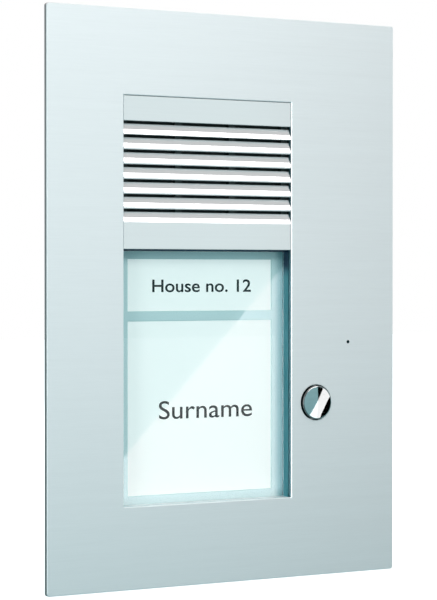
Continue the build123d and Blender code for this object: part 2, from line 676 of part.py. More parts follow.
def chip(x, z, size):
    y, half = BOARD_BACK, size / 2
    top = y + CHIP_BODY[1]
    dot_r, dot_at, dot_depth = CHIP_DOT
    leg_w, leg_h, leg_reach = CHIP_LEG
    package = block(x - half, x + half, y + CHIP_BODY[0], top, z - half, z + half)
    package -= rod(x - half + dot_at, z + half - dot_at, dot_r, top - dot_depth, top + CUTTER)
    for k in (-2, -1, 0, 1, 2):
        leg_x = x + k * CHIP_LEG_PITCH
        package += block(leg_x - leg_w / 2, leg_x + leg_w / 2, y, y + leg_h,
                         z - half - leg_reach, z + half + leg_reach)
    return package


# ---------------------------------------------------------------- internal leads

def wire(points, bend):
    """A round wire along straight runs joined by tangent arcs."""
    path = FilletPolyline(*points, radius=bend)
    return sweep(Plane(path @ 0, z_dir=path % 0) * Circle(LEAD_R), path=path)


def speaker_terminals():
    """Small phenolic board on the back of the basket, where the lead is soldered."""
    return block(CUT_XM - TERMINAL_BOARD_X, CUT_XM + TERMINAL_BOARD_X,
                 SPEAKER_BACK, SPEAKER_BACK + TERMINAL_BOARD_T, *TERMINAL_BOARD_Z)


def speaker_lead(dx):
    x = CUT_XM + dx
    on_tab = SPEAKER_BACK + TERMINAL_BOARD_T + LEAD_R
    on_board = BOARD_BACK + LEAD_R
    points = [(x, y, z) for y, z in zip((on_tab, on_tab, on_board, on_board), SPEAKER_LEAD_Z)]
    return wire(points, SPEAKER_LEAD_BEND)


def mic_lead(dx):
    """Stiff tinned wire from the capsule straight into the board."""
    return rod(MIC_X + dx, MIC_Z, MIC_LEAD_R, MIC_CAPSULE[1], BOARD_FACE)


def light_lead(dx):
    x = LIGHT_LEAD_X + dx
    on_board = BOARD_BACK + LEAD_R
    end_z = BOARD_Z[0] + LIGHT_LEAD_END
    return wire([(x, TRAY_FLOOR, LIGHT_LEAD_Z), (x, on_board, LIGHT_LEAD_Z), (x, on_board, end_z)],
                LIGHT_LEAD_BEND)


# ---------------------------------------------------------------- rear housing

def rear_housing():
    """Moulded back box with corner pillars, ribs and the cable inlet."""
    x, z = HOUSING_X, HOUSING_Z
    shell = block(-x, x, GASKET_T, HOUSING_BACK, -z, z)
    shell = fillet(shell.edges().filter_by(Axis.Y), HOUSING_CORNER_R)
    shell = chamfer(shell.faces().sort_by(Axis.Y)[-1].edges(), HOUSING_BACK_EDGE)
    cavity = block(-x + WALL, x - WALL, 0, HOUSING_BACK - WALL, -z + WALL, z - WALL)
    shell -= fillet(cavity.edges().filter_by(Axis.Y), CAVITY_CORNER_R)
    for px, pz in PILLARS:
        shell += rod(px, pz, PILLAR_R, BUSH_END, HOUSING_BACK - WALL)
        shell -= rod(px, pz, HOUSING_SCREW_HOLE_R, 0, HOUSING_BACK + CUTTER)
        shell -= rod(px, pz, SCREW_WELL_R, SCREW_SEAT, HOUSING_BACK + CUTTER)
    for rib_z in RIB_Z:
        shell += block(-RIB_HALF, RIB_HALF, HOUSING_BACK, HOUSING_BACK + RIB_H,
                       rib_z - RIB_W / 2, rib_z + RIB_W / 2)
    return shell - rod(INLET_X, INLET_Z, INLET_R, HOUSING_BACK - WALL - CUTTER, HOUSING_BACK + CUTTER)


def housing_gasket():
    x, z = HOUSING_X, HOUSING_Z
    gasket = fillet(block(-x, x, 0, GASKET_T, -z, z).edges().filter_by(Axis.Y), HOUSING_CORNER_R)
    opening = block(-x + WALL, x - WALL, -CUTTER, GASKET_T + CUTTER, -z + WALL, z - WALL)
    return gasket - fillet(opening.edges().filter_by(Axis.Y), CAVITY_CORNER_R)


def housing_screw(x, z):
    top = SCREW_SEAT + HOUSING_HEAD_H
    head = rod(x, z, HOUSING_HEAD_R, SCREW_SEAT, top)
    head = fillet(head.edges().sort_by(Axis.Y)[-1], HEAD_EDGE_R)
    slot_l, slot_w = CROSS_SLOT
    for angle in (0, 90):
        head -= Pos(x, top, z) * Rot(0, angle, 0) * Box(slot_l, HOUSING_HEAD_H, slot_w)
    return head + rod(x, z, HOUSING_SCREW_R, HOUSING_SCREW_FROM, SCREW_SEAT)


def cable_grommet():
    """Rubber grommet snapped into the housing's back, with a collar round the cable hole."""
    y0, y1 = HOUSING_BACK - WALL, HOUSING_BACK
    front, step, tip = y0 - GROMMET_FLANGE_T, y1 + GROMMET_FLANGE_T, y1 + COLLAR_END
    lip = INLET_R + GROMMET_LIP
    foot_wall, tip_wall = COLLAR_WALL
    profile = [(CABLE_R, front), (lip, front), (lip, y0), (INLET_R, y0), (INLET_R, y1),
               (lip, y1), (INLET_R + GROMMET_LIP / 2, step), (CABLE_R + foot_wall, step),
               (CABLE_R + tip_wall, tip), (CABLE_R, tip)]
    return turned(INLET_X, INLET_Z, profile)


def build():
    os.makedirs("parts", exist_ok=True)
    save("front_plate", front_plate())
    save("wall_studs", group(wall_stud(x, z) for x in (-STUD_X, STUD_X) for z in (-STUD_Z, STUD_Z)))
    save("housing_bushes", group(bush(x, z) for x, z in PILLARS))
    save("module_studs", group(module_stud(x, z) for x, z in MODULE_STUDS))
    save("module_nuts", group(module_nut(x, z) for x, z in MODULE_STUDS))

    save("louvre_header", header())
    for i in range(SLATS):
        save(f"louvre_slat_{i + 1}", slat(i))
    save("louvre_sill", nosed_rail(SILL_Z0, SILL_TOP))
    save("louvre_carrier", louvre_carrier())
    save("speaker_cloth", speaker_cloth())
    save("speaker_gasket", speaker_gasket())
    save("speaker_basket", speaker_basket())
    save("speaker_cone", speaker_cone())
    save("speaker_magnet", speaker_magnet())
    save("speaker_clamps", group(speaker_clamp(x, z) for x, z in speaker_screw_places()))
    save("speaker_screws", group(speaker_screw(x, z) for x, z in speaker_screw_places()))

    save("cutout_seal", cutout_seal())
    save("label_tray", label_tray())
    save("window_pane", window_pane())
    save("address_card", card(UPPER_CARD_Z))
    save("name_card", card(LOWER_CARD_Z))
    save("light_guide", light_guide())
    save("led_strip", led_strip())
    save("leds", group(led(i) for i in range(LEDS)))

    save("bell_cap", bell_cap())
    save("bell_guide", bell_guide())
    save("bell_seal", bell_seal())
    save("bell_spring", bell_spring())
    save("switch_body", switch_body())
    save("switch_plunger", switch_plunger())

    save("mic_membrane", mic_membrane())
    save("mic_boot", mic_boot())
    save("mic_capsule", mic_capsule())

    save("main_board", main_board())
    save("board_posts", group(board_post(x, z) for x, z in BOARD_POSTS))
    save("board_screws", group(board_screw(x, z) for x, z in BOARD_POSTS))
    save("terminal_block", terminal_block())
    save("terminal_screws", group(terminal_screw(i) for i in range(POLES)))
    save("trimmer_bodies", group(trimmer_body(x) for x in TRIMMERS.values()))
    for name, x in TRIMMERS.items():
        save(f"{name}_rotor", trimmer_rotor(x))
    save("capacitors", group(capacitor(x) for x in CAPACITOR_X))
    save("chips", group(chip(*place) for place in CHIPS))

    save("speaker_terminals", speaker_terminals())
    save("speaker_lead", group(speaker_lead(dx) for dx in (-LEAD_DX, LEAD_DX)))
    save("mic_leads", group(mic_lead(dx) for dx in (-MIC_LEAD_DX, MIC_LEAD_DX)))
    save("light_lead", group(light_lead(dx) for dx in (-LEAD_DX, LEAD_DX)))

    save("housing_gasket", housing_gasket())
    save("rear_housing", rear_housing())
    save("housing_screws", group(housing_screw(x, z) for x, z in PILLARS))
    save("cable_grommet", cable_grommet())


build()
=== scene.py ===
import math

import bpy
from mathutils import Matrix, Vector


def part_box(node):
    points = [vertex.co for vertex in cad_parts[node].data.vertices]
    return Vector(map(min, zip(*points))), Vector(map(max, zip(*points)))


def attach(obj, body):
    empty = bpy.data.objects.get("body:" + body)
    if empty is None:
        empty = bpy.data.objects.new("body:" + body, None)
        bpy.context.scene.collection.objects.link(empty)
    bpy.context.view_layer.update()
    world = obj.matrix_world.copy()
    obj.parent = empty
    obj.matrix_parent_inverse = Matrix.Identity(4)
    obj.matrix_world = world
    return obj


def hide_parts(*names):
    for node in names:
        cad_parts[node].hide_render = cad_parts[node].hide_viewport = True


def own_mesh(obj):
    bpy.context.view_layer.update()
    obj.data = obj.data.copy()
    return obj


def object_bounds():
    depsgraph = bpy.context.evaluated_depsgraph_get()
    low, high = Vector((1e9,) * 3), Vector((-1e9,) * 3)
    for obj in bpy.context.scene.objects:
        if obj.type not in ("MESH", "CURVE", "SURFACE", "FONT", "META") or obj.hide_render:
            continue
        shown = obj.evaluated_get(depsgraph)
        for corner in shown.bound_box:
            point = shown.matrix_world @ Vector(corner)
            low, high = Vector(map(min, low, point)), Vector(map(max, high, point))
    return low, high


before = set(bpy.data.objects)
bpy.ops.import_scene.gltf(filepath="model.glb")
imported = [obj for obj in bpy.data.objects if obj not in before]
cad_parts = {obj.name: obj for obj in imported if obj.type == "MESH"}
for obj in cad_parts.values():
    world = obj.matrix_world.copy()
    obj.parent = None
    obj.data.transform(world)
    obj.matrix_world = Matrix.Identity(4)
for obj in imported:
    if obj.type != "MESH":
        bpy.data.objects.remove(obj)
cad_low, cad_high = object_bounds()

# Looks, lights and camera for the door intercom panel. Metres, in the frame of the CAD:
# X to the right as a visitor sees the panel, Y into the wall, Z up.

MM = 0.001
scene = bpy.context.scene
scene.view_settings.view_transform = "Standard"
scene.view_settings.look = "None"
scene.view_settings.exposure = 0.0
scene.view_settings.gamma = 1.0

PLATE_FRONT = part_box("front_plate")[0].y


# ---------------------------------------------------------------- camera

CAMERA_AT = Vector((-0.45207, -0.75036, 0.00928))
CAMERA_YAW = math.radians(30.888)
CAMERA_PITCH = math.radians(-0.638)
CAMERA_LENS = 132.25
SENSOR_WIDTH = 36.0
CLIP_NEAR, CLIP_FAR = 0.01, 20.0


def make_camera():
    data = bpy.data.cameras.new("camera")
    data.lens = CAMERA_LENS
    data.sensor_width = SENSOR_WIDTH
    data.clip_start = CLIP_NEAR
    data.clip_end = CLIP_FAR
    camera = bpy.data.objects.new("camera", data)
    camera.location = CAMERA_AT
    camera.rotation_euler = (math.pi / 2 + CAMERA_PITCH, 0.0, -CAMERA_YAW)
    scene.collection.objects.link(camera)
    scene.camera = camera


make_camera()


# ---------------------------------------------------------------- studio

# The world's colours, each with how high it lies: 0 is straight down and 1 straight up.
WORLD_LOW = (0.35, (0.20, 0.40, 0.43))
WORLD_MIDDLE = (0.55, (0.27, 0.46, 0.49))
WORLD_HIGH = (0.85, (0.52, 0.53, 0.53))
FLOOR_GLOW = 0.8
FLOOR_REACH = 3.0
FLOOR_DROP = 0.2 * MM       # clear of the panel's lowest edge
PANEL = Vector((0.0, 0.0, 0.0))
STRIP_REACH = 2.2           # distance of the slanted lights, in times the camera's distance
WHITE = (1.0, 1.0, 1.0)
BLACK = (0.0, 0.0, 0.0)


def seen_in_plate(x, z, reach):
    """The studio point that a mirror in the plate's plane would show at (x, z), given in mm.
    It lies reach times as far along the sight line as the plate does."""
    on_plate = Vector((x * MM, PLATE_FRONT, z * MM))
    point = CAMERA_AT + (on_plate - CAMERA_AT) * reach
    point.y = 2 * PLATE_FRONT - point.y
    return point


def seen_through_plate(x, z, share):
    """The point at that share of the way from the camera to (x, z) on the plate's front, in mm."""
    return CAMERA_AT + (Vector((x * MM, PLATE_FRONT, z * MM)) - CAMERA_AT) * share


def lights_only(light, pieces):
    lit = bpy.data.collections.new(light.name + "_lights_only")
    for piece in pieces:
        lit.objects.link(piece)
    light.light_linking.receiver_collection = lit


def area_light(name, at, aim, width, height, radiance, colour, only=()):
    """A soft rectangular light of that radiance, turned to aim. It lights only those pieces, or all."""
    data = bpy.data.lights.new(name, "AREA")
    data.shape = "RECTANGLE"
    data.size = width
    data.size_y = height
    data.energy = radiance * math.pi * width * height
    data.color = colour
    light = bpy.data.objects.new(name, data)
    scene.collection.objects.link(light)
    light.location = at
    light.rotation_mode = "QUATERNION"
    light.rotation_quaternion = (at - aim).to_track_quat("Z", "Y")
    light.visible_camera = False
    if only:
        lights_only(light, only)
    return light


def from_panel(azimuth, elevation, distance):
    """A studio point seen from the panel; azimuth 0 is straight ahead and grows to the right."""
    a, e = math.radians(azimuth), math.radians(elevation)
    return Vector((math.sin(a) * math.cos(e), -math.cos(a) * math.cos(e), math.sin(e))) * distance


def make_world():
    """White behind the panel; a cool grey studio around it that turns neutral overhead."""
    world = bpy.data.worlds.new("studio")
    scene.world = world
    world.use_nodes = True
    nt = world.node_tree
    nt.nodes.clear()
    out = nt.nodes.new("ShaderNodeOutputWorld")
    path = nt.nodes.new("ShaderNodeLightPath")
    where = nt.nodes.new("ShaderNodeTexCoord")
    split = nt.nodes.new("ShaderNodeSeparateXYZ")
    ramp = nt.nodes.new("ShaderNodeValToRGB")
    around = nt.nodes.new("ShaderNodeBackground")
    behind = nt.nodes.new("ShaderNodeBackground")
    mix = nt.nodes.new("ShaderNodeMixShader")
    up = nt.nodes.new("ShaderNodeMapRange")
    up.inputs["From Min"].default_value = -1.0
    up.inputs["From Max"].default_value = 1.0
    low, high = ramp.color_ramp.elements
    low.position, low.color = WORLD_LOW[0], (*WORLD_LOW[1], 1.0)
    high.position, high.color = WORLD_HIGH[0], (*WORLD_HIGH[1], 1.0)
    middle = ramp.color_ramp.elements.new(WORLD_MIDDLE[0])
    middle.color = (*WORLD_MIDDLE[1], 1.0)
    behind.inputs["Color"].default_value = (*WHITE, 1.0)
    nt.links.new(where.outputs["Generated"], split.inputs[0])
    nt.links.new(split.outputs["Z"], up.inputs["Value"])
    nt.links.new(up.outputs["Result"], ramp.inputs["Fac"])
    nt.links.new(ramp.outputs["Color"], around.inputs["Color"])
    nt.links.new(path.outputs["Is Camera Ray"], mix.inputs["Fac"])
    nt.links.new(around.outputs[0], mix.inputs[1])
    nt.links.new(behind.outputs[0], mix.inputs[2])
    nt.links.new(mix.outputs[0], out.inputs["Surface"])


def plain_mesh(name, corners):
    mesh = bpy.data.meshes.new(name)
    mesh.from_pydata([tuple(c) for c in corners], [], [tuple(range(len(corners)))])
    piece = bpy.data.objects.new(name, mesh)
    scene.collection.objects.link(piece)
    return piece


def make_floor():
    r, z = FLOOR_REACH, cad_low.z - FLOOR_DROP
    floor = plain_mesh("floor", [(-r, -r, z), (r, -r, z), (r, r, z), (-r, r, z)])
    mat = bpy.data.materials.new("pale_floor")
    mat.use_nodes = True
    shader = mat.node_tree.nodes["Principled BSDF"]
    shader.inputs["Base Color"].default_value = (0.9, 0.91, 0.91, 1.0)
    shader.inputs["Roughness"].default_value = 0.9
    shader.inputs["Emission Color"].default_value = (*WHITE, 1.0)
    shader.inputs["Emission Strength"].default_value = FLOOR_GLOW
    floor.data.materials.append(mat)
    floor.visible_glossy = False
    floor.visible_diffuse = False


make_world()
make_floor()


def strip_between(name, x, z, tilt, left, right, length, radiance, only):
    """A long light, tilted by so many degrees. The plate would mirror its left edge near (x, z)."""
    t = math.radians(tilt)
    across = Vector((math.sin(t), 0.0, -math.cos(t)))
    along = Vector((math.cos(t), 0.0, math.sin(t)))
    facing = Vector((0.0, -1.0, 0.0))
    at = seen_in_plate(x, z, STRIP_REACH) + across * (left + right) / 2
    light = area_light(name, at, at - facing, right - left, length, radiance, WHITE, only=only)
    side = along.cross(facing).normalized()
    light.rotation_quaternion = Matrix((side, along, facing)).transposed().to_quaternion()


def nodes_but(*left_out):
    return tuple(n for name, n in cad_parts.items() if name not in left_out)


PLATE = (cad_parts["front_plate"],)

# The key is a large softbox in front, above and to the right. The plate gets less of it.
KEY_AT = from_panel(azimuth=21, elevation=32, distance=1.0)
KEY_SIZE = (0.62, 0.38)
KEY_COLOUR = (1.0, 0.97, 0.96)
KEY_RADIANCE, PLATE_KEY_RADIANCE = 4.8, 1.2
TOP_AT = from_panel(azimuth=10, elevation=62, distance=1.0)
TOP_SIZE = (0.8, 0.5)
area_light("key", KEY_AT, PANEL, *KEY_SIZE, KEY_RADIANCE, KEY_COLOUR, only=nodes_but("front_plate"))
area_light("plate_key", KEY_AT, PANEL, *KEY_SIZE, PLATE_KEY_RADIANCE, KEY_COLOUR, only=PLATE)
area_light("plate_top", TOP_AT, PANEL, *TOP_SIZE, 2.4, (1.0, 0.955, 0.95), only=PLATE)

# A broad, weak fill in front, which the mirror-bright bell push and the pane don't show. The plate has
# its own.
FILL_AT = from_panel(azimuth=24, elevation=6, distance=1.1)
PLATE_FILL_AT = from_panel(azimuth=19, elevation=7, distance=1.1)
FILL_SIZE = (1.15, 0.80)
area_light("front_fill", FILL_AT, PANEL, *FILL_SIZE, 0.56, (1.0, 0.95, 0.94),
           only=nodes_but("bell_cap", "window_pane", "front_plate"))
area_light("plate_fill", PLATE_FILL_AT, PANEL, *FILL_SIZE, 0.76, (1.0, 0.955, 0.95), only=PLATE)

# A soft light behind, for the housing.
BACK_AT = from_panel(azimuth=180, elevation=22, distance=1.1)
area_light("back_fill", BACK_AT, PANEL, 0.9, 0.9, 1.1, (1.0, 0.98, 0.97))

# A small fill far to the left, which draws the bright lines along the chamfers, over their painted
# highlight.
EDGE_AT = from_panel(azimuth=-59, elevation=4, distance=0.9)
area_light("edge_fill", EDGE_AT, PANEL, 0.22, 0.8, 2.6, WHITE)

# A narrow slanted strip that the bell push mirrors, with a dark panel behind it.
BELL_X, BELL_Z = 41.8, -42.3            # the bell push's middle on the plate, in mm
STRIP_TILT = 50.7
STRIP_LEFT, STRIP_RIGHT, STRIP_LENGTH = -0.014, 0.125, 0.9
STRIP_RADIANCE = 1.15
strip_between("strip", BELL_X, BELL_Z, STRIP_TILT, STRIP_LEFT, STRIP_RIGHT, STRIP_LENGTH,
              STRIP_RADIANCE, (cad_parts["bell_cap"],))

FLAG_X = 41.6               # where the plate would mirror the dark panel's left edge, in mm
FLAG_REACH = 2.5            # behind the strip
FLAG_SIZE = 0.45
flag_left = seen_in_plate(FLAG_X, BELL_Z, FLAG_REACH)
flag = plain_mesh("flag", [
    (flag_left.x, flag_left.y, -FLAG_SIZE),
    (flag_left.x + FLAG_SIZE, flag_left.y, -FLAG_SIZE),
    (flag_left.x + FLAG_SIZE, flag_left.y, FLAG_SIZE),
    (flag_left.x, flag_left.y, FLAG_SIZE),
])
flag_material = bpy.data.materials.new("black_velvet")
flag_material.use_nodes = True
velvet = flag_material.node_tree.nodes["Principled BSDF"]
velvet.inputs["Base Color"].default_value = (*BLACK, 1.0)
velvet.inputs["Specular IOR Level"].default_value = 0.0
flag.data.materials.append(flag_material)
flag.visible_camera = False
flag.visible_diffuse = False
flag.visible_shadow = False

# The window's glare: a second slanted light that only the pane mirrors. Its edge shows through this
# point of the plate's plane, in mm, at that tilt in degrees.
GLARE_X, GLARE_Z, GLARE_TILT = -5.5, -18.5, 45.5
GLARE_WIDTH, GLARE_LENGTH, GLARE_RADIANCE = 0.26, 1.2, 0.2
strip_between("window_glare", GLARE_X, GLARE_Z, GLARE_TILT, 0.0, GLARE_WIDTH, GLARE_LENGTH,
              GLARE_RADIANCE, (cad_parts["window_pane"],))

CARD_HALF, CARD_RISE = 120, 160         # size of the glare card's shadow on the plate, in mm
CARD_SHARE = 0.3                        # how far from the camera to the plate the card is held
LAMP_R = 0.2 * MM


def make_glare_card():
    """The glare's other half is two lamps at the camera's place that light what lies behind the pane.
    This card with a slanted edge, held in front of them, keeps the window's upper left in the dark."""
    t = math.radians(GLARE_TILT)
    along, up_left = (math.cos(t), math.sin(t)), (-math.sin(t), math.cos(t))
    corners = []
    for a, b in ((-CARD_HALF, 0), (CARD_HALF, 0), (CARD_HALF, CARD_RISE), (-CARD_HALF, CARD_RISE)):
        x = GLARE_X + along[0] * a + up_left[0] * b
        z = GLARE_Z + along[1] * a + up_left[1] * b
        corners.append(seen_through_plate(x, z, CARD_SHARE))
    card = plain_mesh("glare_card", corners)
    card.visible_camera = False
    card.visible_diffuse = False
    card.visible_glossy = False
    card.visible_transmission = False
    return card


def glare_lamp(name, energy, colour, card, lights):
    """A lamp at the camera's place that lights those nodes, past the card."""
    data = bpy.data.lights.new(name, "POINT")
    data.energy = energy
    data.color = colour
    data.shadow_soft_size = LAMP_R
    lamp = bpy.data.objects.new(name, data)
    lamp.location = CAMERA_AT
    scene.collection.objects.link(lamp)
    lights_only(lamp, [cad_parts[node_name] for node_name in lights])
    blockers = bpy.data.collections.new(name + "_blocked_by")
    blockers.objects.link(card)
    lamp.light_linking.blocker_collection = blockers


glare_card = make_glare_card()
glare_lamp("card_glare", 4.6, (1.0, 0.5, 0.46), glare_card, ("address_card", "name_card"))
glare_lamp("guide_glare", 21.0, (0.9, 0.66, 0.67), glare_card, ("light_guide",))


# ---------------------------------------------------------------- materials

def add(nt, kind, settings=None, **inputs):
    """A new node. settings are its own properties; inputs are default values by socket name."""
    n = nt.nodes.new("ShaderNode" + kind)
    for key, value in (settings or {}).items():
        setattr(n, key, value)
    for key, value in inputs.items():
        n.inputs[key.replace("_", " ")].default_value = value
    return n


class Finish:
    """A Principled material with short calls for the procedural parts that feed it."""

    def __init__(self, name, colour, roughness, **constants):
        self.material = bpy.data.materials.new(name)
        self.material.use_nodes = True
        self.nt = self.material.node_tree
        self.shader = self.nt.nodes["Principled BSDF"]
        self.colour = colour
        self.shader.inputs["Base Color"].default_value = (*colour, 1.0)
        self.shader.inputs["Roughness"].default_value = roughness
        for key, value in constants.items():
            self.shader.inputs[key.replace("_", " ")].default_value = value
        self.place = self.nt.nodes.new("ShaderNodeTexCoord").outputs["Object"]

    def scaled(self, per_metre):
        m = add(self.nt, "Mapping", Scale=per_metre)
        self.nt.links.new(self.place, m.inputs["Vector"])
        return m.outputs["Vector"]

    def noise(self, per_metre, detail, roughness):
        """Noise from 0 to 1 whose features are one over per_metre in size, for each axis."""
        n = add(self.nt, "TexNoise", Scale=1.0, Detail=detail, Roughness=roughness)
        self.nt.links.new(self.scaled(per_metre), n.inputs["Vector"])
        return n.outputs["Fac"]

    def cells(self, per_metre):
        n = add(self.nt, "TexVoronoi", Scale=1.0)
        self.nt.links.new(self.scaled(per_metre), n.inputs["Vector"])
        return n.outputs["Distance"]

    def wave(self, per_metre, direction, distortion=0.0):
        n = add(self.nt, "TexWave", {"bands_direction": direction}, Scale=1.0, Distortion=distortion)
        self.nt.links.new(self.scaled(per_metre), n.inputs["Vector"])
        return n.outputs["Fac"]

    def maths(self, operation, a, b=0.0):
        n = add(self.nt, "Math", {"operation": operation})
        for socket, value in ((n.inputs[0], a), (n.inputs[1], b)):
            if isinstance(value, (int, float)):
                socket.default_value = value
            else:
                self.nt.links.new(value, socket)
        return n.outputs[0]

    def between(self, value, from_low, from_high, to_low, to_high, soft=False):
        n = add(self.nt, "MapRange", {"interpolation_type": "SMOOTHSTEP"} if soft else None,
                From_Min=from_low, From_Max=from_high, To_Min=to_low, To_Max=to_high)
        self.nt.links.new(value, n.inputs["Value"])
        return n.outputs["Result"]

    def blend(self, factor, a, b):
        """Colour a where factor is 0 and b where it is 1."""
        n = add(self.nt, "Mix", {"data_type": "RGBA"})
        self.nt.links.new(factor, n.inputs[0])
        for socket, value in ((n.inputs[6], a), (n.inputs[7], b)):
            if isinstance(value, tuple):
                socket.default_value = (*value, 1.0)
            else:
                self.nt.links.new(value, socket)
        return n.outputs[2]

    def normal(self, axis):
        """The face direction's share along the axis, from -1 to 1."""
        g = add(self.nt, "NewGeometry")
        s = add(self.nt, "SeparateXYZ")
        self.nt.links.new(g.outputs["Normal"], s.inputs[0])
        return s.outputs[axis]

    def normal_part(self, axis):
        return self.maths("ABSOLUTE", self.normal(axis))

    def place_part(self, axis):
        s = add(self.nt, "SeparateXYZ")
        self.nt.links.new(self.place, s.inputs[0])
        return s.outputs[axis]

    def set(self, socket, value):
        self.nt.links.new(value, self.shader.inputs[socket])

    def bump(self, height, distance, strength):
        n = add(self.nt, "Bump", Strength=strength, Distance=distance)
        self.nt.links.new(height, n.inputs["Height"])
        self.nt.links.new(n.outputs["Normal"], self.shader.inputs["Normal"])


def tinted(colour, factor):
    return tuple(c * factor for c in colour)


# Places in the panel's frame where painted light or shade changes, each from and to.
OUTER_LEFT = (-79.2 * MM, -78.8 * MM)       # X, just inside the plate's left edge
WINDOW_LEDGE = (-75 * MM, -70 * MM)         # Z, above the cut-out's lower edge
BEHIND_RIM = (-1.7 * MM, -1.5 * MM)         # Y, behind the bell push's rim
BELOW_CARDS = (-79 * MM, -76.5 * MM)        # Z, the window border's lower stretch
ABOVE_CARDS = (15.2 * MM, 16.2 * MM)        # Z, its upper stretch
BESIDE_WALL = (26.2 * MM, 30.5 * MM)        # X, from the cards to the tray's right wall
UNDER_LOUVRE = (8 * MM, 14 * MM)            # Z, the tray's upper end


def plate_aluminium():
    """Fine brushed, anodised sheet. The strokes run sideways. The chamfers carry a painted highlight, but
    for the one along the outer left edge, and the cut faces carry painted shade, but for the window's lower
    upward faces, which carry painted light."""
    f = Finish("plate_aluminium", (0.855, 0.85, 0.855), 0.36, Metallic=0.72)
    fine = f.noise((70.0, 3600.0, 3600.0), 3.0, 0.6)
    broad = f.noise((9.0, 420.0, 420.0), 2.0, 0.5)
    cloud = f.noise((14.0, 14.0, 14.0), 3.0, 0.5)
    strokes = f.maths("ADD", f.maths("MULTIPLY", fine, 0.65), f.maths("MULTIPLY", broad, 0.35))
    facing = f.normal_part("Y")
    inner = f.between(f.place_part("X"), *OUTER_LEFT, 0.0, 1.0)
    # painted highlight: the chamfers, but for the outer left one, are made near white and less metallic
    slanted = f.maths("MULTIPLY", f.between(facing, 0.3, 0.5, 0.0, 1.0),
                      f.between(facing, 0.85, 0.95, 1.0, 0.0))
    painted_chamfer_highlight = f.maths("MULTIPLY", slanted, inner)
    brushed = f.blend(f.between(strokes, 0.3, 0.7, 0.0, 1.0), tinted(f.colour, 0.975),
                      tinted(f.colour, 1.02))
    # painted shade: the cut faces are darkened, grey along the outer left side and dark teal inside the
    # cut-outs
    cut = f.between(facing, 0.0, 0.3, 1.0, 0.0)
    # painted light: faces below the window that look up are made near white, as if lit by the window's glow
    low = f.between(f.place_part("Z"), *WINDOW_LEDGE, 1.0, 0.0)
    painted_ledge_light = f.maths("MULTIPLY", f.between(f.normal("Z"), 0.5, 0.8, 0.0, 1.0), low)
    face = f.blend(cut, brushed, f.blend(inner, (0.36, 0.31, 0.31), (0.12, 0.25, 0.29)))
    f.set("Base Color", f.blend(f.maths("MAXIMUM", painted_chamfer_highlight, painted_ledge_light), face, (0.93, 0.95, 0.955)))
    rough = f.maths("ADD", f.between(strokes, 0.3, 0.7, 0.34, 0.40), f.between(cloud, 0.3, 0.7, -0.01, 0.01))
    leftward = f.maths("MULTIPLY", f.normal("X"), -1.0)
    upright = f.maths("MULTIPLY", painted_chamfer_highlight, f.between(leftward, 0.4, 0.6, 0.0, 1.0))
    level = f.maths("SUBTRACT", painted_chamfer_highlight, upright)
    f.set("Roughness", f.maths("ADD", rough, f.maths("MULTIPLY", upright, -0.1)))
    f.set("Metallic", f.between(level, 0.0, 1.0, 0.72, 0.1))
    f.bump(strokes, 0.000006, 0.4)
    return f.material


def louvre_aluminium():
    """Extruded rail, satin anodised: faint draw lines along its length, and a painted highlight that makes
    the sawn ends white.
    """
    f = Finish("louvre_aluminium", (0.86, 0.83, 0.83), 0.13, Metallic=0.55)
    draw = f.noise((12.0, 5200.0, 5200.0), 2.0, 0.6)
    cloud = f.noise((60.0, 60.0, 60.0), 2.0, 0.5)
    drawn = f.blend(f.between(draw, 0.3, 0.7, 0.0, 1.0), tinted(f.colour, 0.985), tinted(f.colour, 1.015))
    # painted highlight: faces that look sideways are made near white and less metallic
    painted_end_highlight = f.between(f.normal_part("X"), 0.8, 0.95, 0.0, 1.0)
    f.set("Base Color", f.blend(painted_end_highlight, drawn, (0.95, 0.95, 0.95)))
    f.set("Metallic", f.between(painted_end_highlight, 0.0, 1.0, 0.55, 0.1))
    f.set("Roughness", f.maths("ADD", f.between(draw, 0.3, 0.7, 0.11, 0.14),
                               f.between(cloud, 0.3, 0.7, -0.01, 0.01)))
    f.bump(draw, 0.000002, 0.25)
    return f.material


def polished_steel():
    """Bright turned steel with a trace of fingerprints. The rim carries a painted dark reflection, and what
    lies behind it painted shade.
    """
    f = Finish("polished_steel", (0.78, 0.79, 0.79), 0.04, Metallic=1.0)
    smear = f.noise((420.0, 420.0, 900.0), 3.0, 0.6)
    face = f.blend(f.between(smear, 0.35, 0.7, 0.0, 1.0), tinted(f.colour, 1.02), tinted(f.colour, 0.96))
    # painted dark reflection on the rim's rounded faces, and painted shade on what lies behind the rim
    rim = f.between(f.normal_part("Y"), 0.9, 0.98, 1.0, 0.0)
    behind = f.between(f.place_part("Y"), *BEHIND_RIM, 0.0, 1.0)
    f.set("Base Color", f.blend(f.maths("MAXIMUM", rim, behind), face, (0.22, 0.225, 0.225)))
    f.set("Roughness", f.between(smear, 0.4, 0.75, 0.02, 0.06))
    return f.material


def plated(name, colour, rough):
    """Plated or bare small metal parts: mottled plating and fine machining marks."""
    f = Finish(name, colour, rough, Metallic=1.0)
    spots = f.noise((500.0, 500.0, 500.0), 3.0, 0.6)
    marks = f.noise((5000.0, 5000.0, 700.0), 1.0, 0.5)
    f.set("Base Color", f.blend(f.between(spots, 0.35, 0.65, 0.0, 1.0), tinted(colour, 0.9),
                                tinted(colour, 1.08)))
    f.set("Roughness", f.maths("ADD", f.between(spots, 0.3, 0.7, rough - 0.06, rough + 0.08),
                               f.between(marks, 0.3, 0.7, -0.03, 0.03)))
    f.bump(marks, 0.000008, 0.4)
    return f.material


